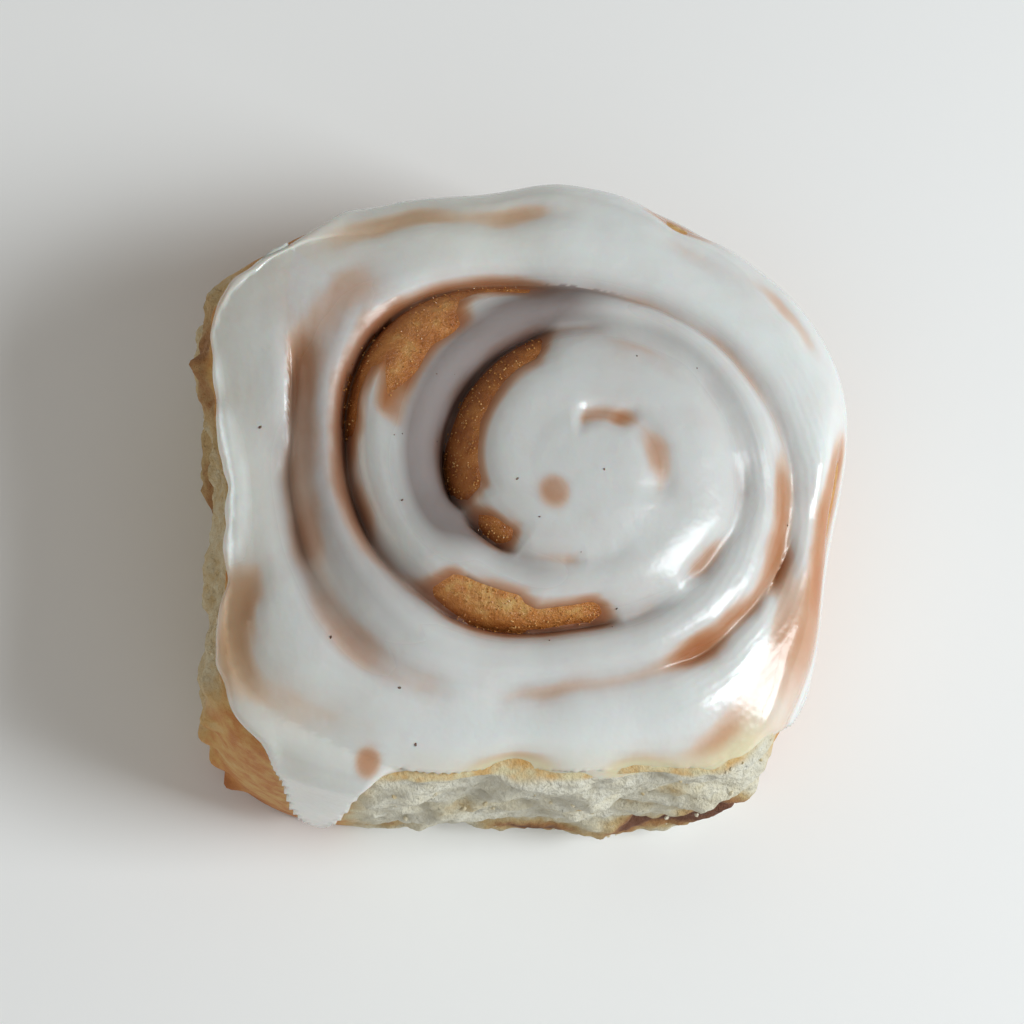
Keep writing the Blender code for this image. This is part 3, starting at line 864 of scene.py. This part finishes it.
def calculate(operation, first, second=0.0):
    """A Math node between two values, of which one at least is a socket."""
    socket = first if isinstance(first, bpy.types.NodeSocket) else second
    node = socket.id_data.nodes.new("ShaderNodeMath")
    node.operation = operation
    put(node.inputs[0], first)
    put(node.inputs[1], second)
    return node.outputs["Value"]


plus, minus, times = (partial(calculate, operation) for operation in ("ADD", "SUBTRACT", "MULTIPLY"))


def colour_ramp(driver, stops):
    """Colours along a value: stops of (place, red, green, blue), or of (place, value) for a grey."""
    node = driver.id_data.nodes.new("ShaderNodeValToRGB")
    elements = node.color_ramp.elements
    while len(elements) < len(stops):
        elements.new(0.5)
    for element, (place, *colour) in zip(elements, stops):
        element.position = place
        element.color = (*(colour * 3)[:3], 1)
    feed(node, Fac=driver)
    return node.outputs["Color"]


def blend_colours(share, first, second):
    """Mixes two colours, each a socket or three numbers, by a mask."""
    node = share.id_data.nodes.new("ShaderNodeMix")
    node.data_type = "RGBA"
    for socket, value in ((0, share), (6, first), (7, second)):
        put(node.inputs[socket], value)
    return node.outputs[2]


def bump(height, distance, strength=1.0, **under):
    node = height.id_data.nodes.new("ShaderNodeBump")
    feed(node, Height=height, Distance=distance, Strength=strength, **under)
    return node.outputs["Normal"]


print("shared groups:", MOTTLE.name, GRAIN.name)

# %% [markdown]
# Baked dough goes from cream through gold to dark brown, so the crust's colour is a ramp along how dark it
# is baked, moved about by mottling. The same attribute also holds painted shade down the grooves, in the
# crease and in thin lines under the crumb's ledges. The torn crumb has its own cream, and the left side,
# which was pressed against another roll, is browner. Crumb is dull, while crust under syrup shines a little.

# %% The bread's finish
CRUST = (
    (0.0, 0.76, 0.66, 0.4), (0.25, 0.68, 0.39, 0.12), (0.42, 0.6, 0.235, 0.054), (0.6, 0.46, 0.15, 0.03),
    (0.8, 0.32, 0.088, 0.018), (1.0, 0.14, 0.038, 0.011),
)
CRUMB = (
    (0.0, 0.8, 0.78, 0.68), (0.3, 0.72, 0.65, 0.47), (0.5, 0.6, 0.43, 0.2), (0.72, 0.42, 0.2, 0.065),
    (1.0, 0.17, 0.06, 0.025),
)
bread_finish = new_material("bread_finish")
tree = bread_finish.node_tree
bake_and_shade, crumb = attribute(tree, "bake_and_shade"), attribute(tree, "crumb")
mottled = times(minus(mask(tree, MOTTLE, 420), 0.5), 0.22)
grainy = times(mask(tree, GRAIN, 520, 0.3, 0.7), 0.22)
crust_colour = colour_ramp(plus(bake_and_shade, mottled), CRUST)
crumb_colour = colour_ramp(plus(times(bake_and_shade, 1.3), grainy), CRUMB)
fine = bump(mask(tree, GRAIN, 620, 0.25, 0.75), 0.0006, 0.8)
feed(shader_of(bread_finish),
     Base_Color=blend_colours(crumb, crust_colour, crumb_colour),
     Roughness=colour_ramp(minus(attribute(tree, "sticky"), crumb), ((0.0, 0.66), (1.0, 0.27))),
     Normal=bump(times(mask(tree, MOTTLE, 1100), crumb), 0.0003, 0.6, Normal=fine))
bread.data.materials.append(bread_finish)
print("bread finish:", len(tree.nodes), "nodes")

# %% [markdown]
# The filling is cinnamon, sugar and butter, cooked to a dark sticky sheet and rolled up with the dough: a
# long thin ribbon on edge in the seam, lumpy along its top, which shows wherever the icing left a groove
# bare. A grid makes it again, wrapped round the ribbon's section: up the inner side, over the top, down the
# outer.

# %% The filling
FILLING_THICKNESS, FILLING_BOTTOM = 1.2 * MM, 0.6 * MM
FILLING_LUMPS, FILLING_LUMP_SIZE, FILLING_PROUD = 0.25 * MM, 1.3 * MM, 0.55 * MM
# Rows up each side and over the top of the section
UP_ROWS, OVER_ROWS = 4, 4
RIBBON_ROWS = 2 * UP_ROWS + OVER_ROWS


def ribbon_point(cut, row):
    opening = open_seam(cut.turns)
    half = FILLING_THICKNESS / 2 * (0.15 + 0.85 * opening)
    reach = seam_reach(cut.turns)
    crease = cut.crown(reach) - groove_depth(cut.turns) - CREASE * opening
    lumps = noise(place_of(cut.turns, reach, 0) / FILLING_LUMP_SIZE) * FILLING_LUMPS
    top = crease + FILLING_PROUD * opening + lumps
    if UP_ROWS <= row <= UP_ROWS + OVER_ROWS:
        angle = math.pi * (row - UP_ROWS) / OVER_ROWS
        z = top - half + half * math.sin(angle)
        out = -half * math.cos(angle)
    else:
        side, share = (-1, row / UP_ROWS) if row < UP_ROWS else (1, (RIBBON_ROWS - row) / UP_ROWS)
        z = mix(FILLING_BOTTOM, top - half, share)
        out = side * half if 0 < row < RIBBON_ROWS else 0.0
    return place_of(cut.turns, reach + out, z)


ribbon = roll_up("cinnamon_filling", (START_COLUMN + 8, TAIL_COLUMN - 8), RIBBON_ROWS, ribbon_point)
edit_all(ribbon)
bpy.ops.mesh.remove_doubles(threshold=WELD)
bpy.ops.mesh.select_all(action="DESELECT")
bpy.ops.mesh.select_non_manifold()
bpy.ops.mesh.edge_face_add()
leave_edit()
recalculate(ribbon)
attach(ribbon, "root")
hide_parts("filling")

filling_finish = new_material("filling_finish", Roughness=0.4, Coat_Weight=0.5, Coat_Roughness=0.15)
tree = filling_finish.node_tree
feed(shader_of(filling_finish),
     Base_Color=colour_ramp(mask(tree, GRAIN, 1200, 0.3, 0.7), (
         (0.0, 0.14, 0.042, 0.012), (0.6, 0.28, 0.100, 0.026), (1.0, 0.46, 0.21, 0.07))),
     Normal=bump(mask(tree, GRAIN, 1500, 0.2, 0.8), 0.0004))
ribbon.data.materials.append(filling_finish)
report(ribbon)

# %% [markdown]
# How far the icing hangs is a second curve, round the outside. Baked sides end in a thick rounded bead, the
# front left corner in one heavy drip, and torn sides near the rim, thin on the front. The glaze starts from
# a smooth bed over the crowns. Each point of it carries the coat and a drop into the groove, from a soft
# maximum of two: a pool that fills part of the groove, and a thin coat that clings to the flanks.

# %% The glaze's bed and hem
# (turns, share of the side that the glaze covers)
GLAZE_HEM = (
    (0.0, 0.6), (0.05, 0.66), (0.1, 0.5), (0.14, 0.24), (0.18, 0.05), (0.23, 0.14), (0.285, 0.04),
    (0.335, 0.09), (0.345, 0.28), (0.351, 0.7), (0.358, 0.84), (0.366, 0.74), (0.375, 0.36),
    (0.386, 0.18), (0.4, 0.125), (0.42, 0.1), (0.46, 0.09), (0.51, 0.13), (0.545, 0.03), (0.585, 0.1),
    (0.63, 0.14), (0.69, 0.58), (0.74, 0.44), (0.8, 0.64), (0.86, 0.42), (0.93, 0.62),
)
# The glaze's edge, in mm: its bead, a round and a thin end, and how ragged its line is
BEAD, BEAD_RISE, BEAD_WIDTH = 0.30, 0.8, 2.6
ROUND_EDGE, THIN_EDGE, HEM_NOISE, HEM_NOISE_SIZE = 1.1, 3.2, 0.9, 4.5 * MM
GROOVE_FILL, SHALLOW_FILL, CLINGS = 0.45, 0.72, 0.5
SHALLOW, SHALLOW_EASE = 1.6, 2.4
START_FILL, TAIL_FILL = 0.97, 0.94


def soft_max(first, second, blend):
    share = clamp(0.5 + 0.5 * (first - second) / blend)
    return mix(second, first, share) + blend * share * (1 - share)


def fill_of(turns):
    """The share of a groove that glaze fills: most of a shallow one, nearly all at the seam's ends."""
    fill = mix(SHALLOW_FILL, GROOVE_FILL, smooth((groove_depth(turns) / MM - SHALLOW) / SHALLOW_EASE))
    fill = mix(START_FILL, fill, smooth((turns - 0.45) / 0.45))
    return mix(fill, TAIL_FILL, smooth((turns - 3.50) / 0.06))


for cut in CUTS:
    cut.inner_fill = fill_of(cut.inner_turns)
    cut.outer_fill = 0.0 if cut.outermost else fill_of(cut.turns)


def glaze_drop(cut, reach, coat):
    """How far the glaze's surface lies below an even coat over the crown, in mm."""
    thick = smooth((coat - GONE) / (COAT - GONE))
    inner_fall, outer_fall = cut.soft_grooves(reach)
    fallen = (1 - thick * cut.inner_fill) * inner_fall + (1 - thick * cut.outer_fill) * outer_fall
    pooled = coat - fallen / MM
    clinging = min(coat, CLINGS * coat) - cut.groove(reach) / MM
    return soft_max(pooled, clinging, max(CLINGS * coat, 0.02)) - coat


def hem_coat(coat, to_hem, thinned):
    """Shapes the coat's end, to_hem mm inside the hem: a round bead, or a thin edge where thinned is 1."""
    if to_hem <= 0:
        return mix(EDGE_COAT, GONE, clamp(-to_hem))
    bead = BEAD * smooth(to_hem / BEAD_RISE) * (1 - smooth((to_hem - BEAD_RISE) / BEAD_WIDTH))
    rounded = math.sqrt(1 - (1 - clamp(to_hem / ROUND_EDGE)) ** 2)
    thick = (coat + bead) * rounded + EDGE_COAT * (1 - rounded)
    thin = mix(EDGE_COAT, coat, smooth(to_hem / THIN_EDGE))
    return mix(thick, thin, thinned)


# Painted shade over the inner turns, and how creamy the left rim is beside the front
CORE_PAINTED_SHADE, LEFT_PALENESS = 0.20, 0.6


def painted_shade_of(cut, reach, sunk):
    """How much painted shade darkens the glaze to mauve: a little over the inner turns, and more the deeper
    it lies.
    """
    dusk = CORE_PAINTED_SHADE * smooth((36 - reach / MM) / 14) + 0.10 * max(0.0, sunk)
    for dusks, across in ((cut.inner_dusks, reach - cut.inner), (cut.outer_dusks, reach - cut.outer)):
        dusk += sum(wide * inside(across / MM, inner, outer, 3.6) for inner, outer, _, wide in dusks)
    return dusk


def rim_paleness(cut, beyond_shoulder):
    """How creamy the glaze is: 1 on the rim of the torn front, over pale bread, and less on the left."""
    if not cut.outermost:
        return 0.0
    front = between(cut.turns, 0.13, 0.34, 0.04) * smooth(beyond_shoulder / (5 * MM) + 1)
    left = between(cut.turns, 0.36, 0.74, 0.08) * smooth(beyond_shoulder / (12 * MM) + 1)
    return max(front, LEFT_PALENESS * left)


def wrinkled_at(cut, reach):
    """How wrinkled the glaze is: on the right, and not near the middle."""
    on_right = max(between(cut.turns, 0.92, 1.10, 0.10), between(cut.turns, -0.08, 0.17, 0.10))
    return on_right * smooth(reach / MM / 9 - 2)


def glaze_top(cut, row):
    reach, edge, point = on_top(cut, row)
    coat, tint = coat_at(cut, reach, edge, point)
    coat = max(coat, GONE)
    drop = glaze_drop(cut, reach, coat)
    # Painted shade: the deeper the glaze lies in a groove, the darker its colour is painted
    dusk = painted_shade_of(cut, reach, -drop - coat)
    pale = rim_paleness(cut, reach - cut.outer)
    return (*point, coat, drop, tint, dusk, dryness(cut, edge), reach / MM, wrinkled_at(cut, reach), pale)


def glaze_core(cut, row):
    point = core_point(cut, row)
    reach = cut.inner * row / CORE_ROWS
    coat, tint = coat_at(cut, cut.inner, -FAR, point)
    return (*point, coat, 0.0, tint, CORE_PAINTED_SHADE, 0.0, reach / MM, 0.0, 0.0)


HEM_END = 0.84
HEM_ROWS = 52


def glaze_wall(cut, row):
    share = HEM_END * row / HEM_ROWS
    beyond, z, down = cut.side(share)
    point = place_of(cut.turns, cut.wall + beyond, z)
    edge = down - 0.5 * cut.arc
    coat, tint = coat_at(cut, cut.wall, edge, point)
    hem = cut.side(curve_round(GLAZE_HEM, cut.turns))[2]
    ragged = HEM_NOISE * noise(point / HEM_NOISE_SIZE) * (0.4 + cut.torn)
    to_hem = (hem - down) / MM + ragged
    tint = max(tint, cut.torn * 0.30 * (1 - smooth(to_hem / 2.5)))
    pale = rim_paleness(cut, 0.0)
    thinned = 0.9 * cut.torn * between(cut.turns, 0.10, 0.36)
    coat = max(GONE, hem_coat(coat, to_hem, thinned))
    return (*point, coat, 0.0, tint, 0.0, dryness(cut, edge), cut.wall / MM, 0.0, pale)


GLAZE_MARKS = ("coat", "drop", "tint", "dusk", "dry", "reach", "wrinkled", "pale")
glaze = weld("icing_glaze", coil_sheets(glaze_core, glaze_top, glaze_wall, HEM_ROWS, GLAZE_MARKS))
print("glaze bed:", len(glaze.data.polygons), "faces")

# %% [markdown]
# The bed is not glaze yet: every point is lifted by the coat's thickness, along its own normal, and
# straight up near the coil's middle, where the normals turn quickly. Then it sinks by its drop. Faces that
# have sunk into the bread all over are deleted, and the Solidify modifier gives the sheet an underside
# inside the bread, so that it becomes a closed skin.

# %% Lifting the glaze
UNDERSIDE, SUNK = 1.0 * MM, -0.3
STRAIGHT_UNTIL, STRAIGHT_EASE = 6 * MM, 4 * MM
coats, drops = ([mark.value for mark in glaze.data.attributes[name].data] for name in ("coat", "drop"))
normals = [Vector(vertex.normal) for vertex in glaze.data.vertices]
straight_up = Vector((0, 0, 1))
coil_middle = place_of(0.0, 0.0, 0.0)
for vertex, normal, coat, drop in zip(glaze.data.vertices, normals, coats, drops):
    from_middle = (vertex.co.xy - coil_middle.xy).length
    leaning = smooth((from_middle - STRAIGHT_UNTIL) / STRAIGHT_EASE)
    normal = normal.lerp(straight_up, 1 - leaning).normalized()
    vertex.co += normal * coat * MM + straight_up * drop * MM
sunk = [all(coats[n] < SUNK for n in face.vertices) for face in glaze.data.polygons]
edit_all(glaze)
bpy.ops.mesh.select_mode(type="FACE")
bpy.ops.mesh.select_all(action="DESELECT")
leave_edit()
glaze.data.polygons.foreach_set("select", sunk)
bpy.ops.object.mode_set(mode="EDIT")
bpy.ops.mesh.delete(type="FACE")
bpy.ops.mesh.select_mode(type="VERT")
leave_edit()
skin = glaze.modifiers.new("skin", "SOLIDIFY")
skin.thickness = UNDERSIDE
skin.offset = -1
skin.use_even_offset = False
bpy.ops.object.modifier_apply(modifier=skin.name)
bpy.ops.object.shade_smooth()
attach(glaze, "root")
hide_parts("icing")
report(glaze, "after", sum(sunk), "faces were deleted")

# %% [markdown]
# Icing is white sugar in a clear syrup. Where it is thick it is a slightly green white, where it thins the
# bread tints it pink and then orange brown, and at its very edge it has the bread's colour. The tint
# attribute drives that ramp. On the torn rims it turns creamy instead. Deep in the coil a painted shade
# darkens it to mauve, and there it is also dull, so the clear coat fades there and on the dried streak.
# Subsurface lets a little light through. Faint waves and, on the right, fine wrinkles along the coil break
# its shine.

# %% The glaze's finish
MILKY = (
    (0.0, 0.74, 0.76, 0.74), (0.15, 0.7, 0.67, 0.64), (0.3, 0.68, 0.52, 0.42), (0.5, 0.56, 0.33, 0.21),
    (0.72, 0.5, 0.225, 0.1), (0.88, 0.46, 0.17, 0.055), (1.0, 0.45, 0.15, 0.04),
)
# Colours: the painted mauve shade, the dried streak's white, and the creamy rim
PAINTED_SHADE_COLOUR, DRY_WHITE, PALE_RIM = (0.155, 0.110, 0.100), (0.84, 0.86, 0.83), (0.72, 0.63, 0.42)
WRINKLE = 1.1
glaze_finish = new_material(
    "glaze_finish", Subsurface_Weight=0.25, Subsurface_Scale=0.0016, Coat_Roughness=0.06)
tree = glaze_finish.node_tree
tint, pale, dusk, dry, reach, wrinkled = (
    attribute(tree, name) for name in ("tint", "pale", "dusk", "dry", "reach", "wrinkled"))
patchy = times(minus(mask(tree, MOTTLE, 150), 0.5), 0.08)
at_rim = calculate("POWER", pale, 3.0)
browned = minus(1.0, times(at_rim, 0.60))
over_crust = colour_ramp(plus(times(tint, browned), patchy), MILKY)
creamy = plus(times(tint, at_rim), times(pale, 0.30))
milky = blend_colours(calculate("MINIMUM", creamy, 1.0), over_crust, PALE_RIM)
# Painted shade darkens the glaze's colour to mauve deep in the coil
shaded = blend_colours(calculate("MINIMUM", dusk, 0.85), milky, PAINTED_SHADE_COLOUR)
dull = plus(dusk, dry)
wave_at = plus(times(reach, 2 * math.pi / WRINKLE), times(mask(tree, MOTTLE, 120, 0.0, 1.0), 9.0))
wrinkles = times(calculate("SINE", wave_at), wrinkled)
waves = bump(mask(tree, MOTTLE, 170, 0.2, 0.8), 0.0005, 0.30)
feed(shader_of(glaze_finish),
     Base_Color=blend_colours(times(dry, 0.9), shaded, DRY_WHITE),
     Roughness=colour_ramp(dull, ((0.0, 0.23), (0.25, 0.27), (0.55, 0.50), (1.0, 0.7))),
     Coat_Weight=calculate("MAXIMUM", minus(0.38, times(dull, 1.4)), 0.0),
     Normal=bump(wrinkles, 0.00006, 0.16, Normal=waves))
glaze.data.materials.append(glaze_finish)
print("glaze finish:", len(tree.nodes), "nodes")

# %% [markdown]
# The smallest things give the roll its scale: crumbs along the torn rims, grains of sugar where the icing
# left the syrup bare, and specks of cinnamon in the glaze. Each kind is one bit, an ico sphere flattened
# and roughened in edit mode, then copied with its own mesh, size and turn. The random numbers start from a
# fixed seed.

# %% Copies of one bit
random.seed(11)


def new_bit(flattening, roughness, subdivisions=1):
    """A rough little lump one unit across."""
    select_only()
    bpy.ops.mesh.primitive_ico_sphere_add(subdivisions=subdivisions, radius=0.5)
    bit = bpy.context.object
    bpy.ops.object.mode_set(mode="EDIT")
    bpy.ops.transform.resize(value=flattening)
    bpy.ops.mesh.select_all(action="SELECT")
    bpy.ops.transform.vertex_random(offset=roughness, seed=5)
    leave_edit()
    return bit


def scatter(name, bit, places, material):
    """Joins copies of a bit into one piece: places are (point, size), and turns are random."""
    select_only()
    for point, size in places:
        copy = bit.copy()
        copy.data = bit.data.copy()
        spin = Euler([random.uniform(0, 2 * math.pi) for _ in range(3)]).to_matrix().to_4x4()
        copy.data.transform(Matrix.Translation(point) @ spin @ Matrix.Scale(size, 4))
        bpy.context.collection.objects.link(copy)
        copy.select_set(True)
        bpy.context.view_layer.objects.active = copy
    bpy.data.objects.remove(bit)
    bpy.ops.object.join()
    piece = bpy.context.object
    piece.name = name
    piece.data.materials.append(material)
    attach(piece, "root")
    report(piece, "in", len(places), "bits")


def bit_finish(name, scale, stops, **values):
    """A finish whose colour changes from bit to bit."""
    finish = new_material(name, **values)
    feed(shader_of(finish), Base_Color=colour_ramp(mask(finish.node_tree, MOTTLE, scale), stops))
    return finish


# %% [markdown]
# Crumbs hang on where the bread tore. Their places are picked among the bread's points that are marked as
# crumb, and each is about half sunk, so that it grows out of the wall and doesn't float.

# %% Crumbs
CRUMBS, CRUMB_SIZES = 90, (0.3 * MM, 0.9 * MM)
crumb_marks = [mark.value for mark in bread.data.attributes["crumb"].data]
on_tear = [n for n, mark in enumerate(crumb_marks) if mark > 0.6 and bread.data.vertices[n].co.z > 2 * MM]
crumb_places = []
for n in random.sample(on_tear, CRUMBS):
    size = random.uniform(*CRUMB_SIZES)
    vertex = bread.data.vertices[n]
    crumb_places.append((vertex.co + vertex.normal * size * 0.05, size))
crumb_finish = bit_finish("crumb_finish", 300, (
    (0.0, 0.55, 0.40, 0.18), (0.4, 0.70, 0.60, 0.40), (1.0, 0.78, 0.73, 0.58)), Roughness=0.85)
feed(shader_of(crumb_finish), Normal=bump(mask(crumb_finish.node_tree, GRAIN, 900, 0.2, 0.8), 0.0003))
scatter("crumbs", new_bit((1.0, 0.85, 0.65), 0.09, 2), crumb_places, crumb_finish)

# %% [markdown]
# Sugar that melted into the syrup dries to amber grains that sparkle in the bare patches. Random places
# along the coil are tried, and a grain is kept where the glaze is gone.

# %% Grains of sugar
GRAINS, GRAIN_SIZES = 650, (0.14 * MM, 0.40 * MM)
grain_places = []
while len(grain_places) < GRAINS:
    cut = cut_at(random.randrange(START_COLUMN + ROUND // 2, TAIL_COLUMN))
    reach = mix(cut.inner, cut.outer, random.random())
    flat = place_of(cut.turns, reach, cut.crown(reach))
    if coat_at(cut, reach, reach - cut.outer, flat)[0] < -0.15:
        grain_places.append((flat - Vector((0, 0, cut.groove(reach))), random.uniform(*GRAIN_SIZES)))
grain_finish = bit_finish("grain_finish", 700, (
    (0.0, 0.34, 0.12, 0.025), (0.6, 0.56, 0.25, 0.06), (1.0, 0.76, 0.45, 0.17)),
    Roughness=0.25, Coat_Weight=0.3, Coat_Roughness=0.1)
scatter("sugar_grains", new_bit((1.0, 0.8, 0.7), 0.10), grain_places, grain_finish)

# %% [markdown]
# A few specks of cinnamon lie in the glaze: some placed one by one as in the photograph, and a few more at
# random. A ray from above finds the glaze under each, and the speck is pressed into it.

# %% Specks
# (turns, reach in mm, size in mm)
SPECKS = (
    (0.53, 43.3, 0.75), (0.488, 8.2, 0.6), (0.954, 3.7, 0.5), (0.407, 39.1, 0.7), (0.36, 36.7, 0.7),
    (0.479, 23.7, 0.6), (0.2, 18.1, 0.5), (0.335, 41.4, 0.8),
)
speck_spots = list(SPECKS)
for _ in range(14):
    speck_spots.append((random.random(), random.uniform(5, 36), random.uniform(0.25, 0.45)))
speck_places = []
for turns, reach, size in speck_spots:
    above = place_of(turns, reach * MM, 0.1)
    hit, spot, _, _ = glaze.ray_cast(above, Vector((0, 0, -1)))
    if hit:
        speck_places.append((spot - Vector((0, 0, 0.12 * size * MM)), size * MM))
speck_finish = bit_finish("speck_finish", 900, (
    (0.0, 0.10, 0.055, 0.035), (1.0, 0.20, 0.12, 0.08)), Roughness=0.5)
scatter("cinnamon_specks", new_bit((1.0, 0.8, 0.5), 0.08), speck_places, speck_finish)
